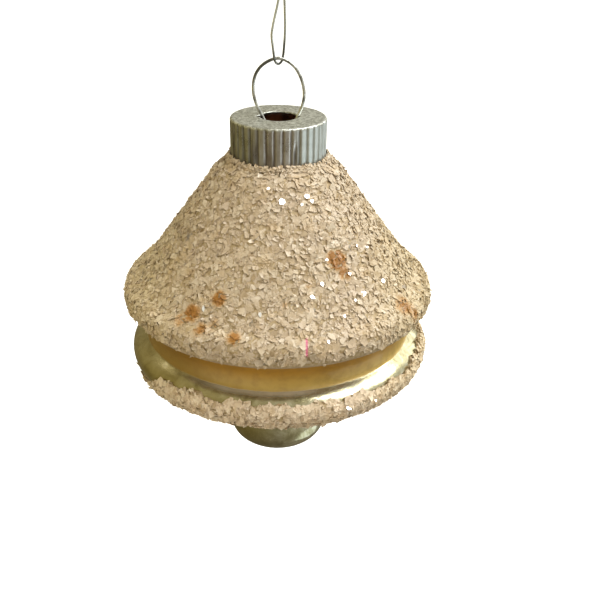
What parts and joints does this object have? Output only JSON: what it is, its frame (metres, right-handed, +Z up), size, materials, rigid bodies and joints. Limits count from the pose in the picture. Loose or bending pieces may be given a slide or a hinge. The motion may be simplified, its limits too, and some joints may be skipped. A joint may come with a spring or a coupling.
{
  "type": "hanging glass ornament",
  "caption": "Spinning-top shaped silvered glass ornament crusted with mica flakes, with a fluted metal cap, spring-wire ring and wire hanging hook.",
  "frame": {"origin": "the hang point: the inside top of the hook's crook, where a branch or rod carries the ornament", "axes": "+Z up along the ornament's axis; +X in the plane of the hanger ring, to the right as seen from the front; +Y to the back"},
  "size_m": [0.0644, 0.0644, 0.1176],
  "materials": {
    "hook_wire": "satin",
    "clip_wire": "satin",
    "cap_metal": "satin",
    "silvered_glass": "gloss",
    "mica_flakes": "satin"
  },
  "bodies": {
    "hook": {"ornament_hook": "hook_wire"},
    "clip": {"hanger_clip": "clip_wire"},
    "cap": {"cap": "cap_metal"},
    "glass": {"glass_body": "silvered_glass", "mica_crust_upper": "mica_flakes", "mica_crust_lower": "mica_flakes"}
  },
  "joints": [
    {"name": "ornament_swing", "type": "hinge", "parent": "hook", "child": "clip", "pos_m": [0, 0, -0.03061], "axis": [1, 0, 0], "range_deg": [-75, 75]},
    {"name": "clip_rock", "type": "hinge", "parent": "clip", "child": "cap", "pos_m": [0, 0, -0.04176], "axis": [1, 0, 0], "range_deg": [-8, 8]},
    {"name": "cap_pull_off", "type": "slide", "parent": "cap", "child": "glass", "axis": [0, 0, -1], "range_m": [0, 0.014]}
  ]
}
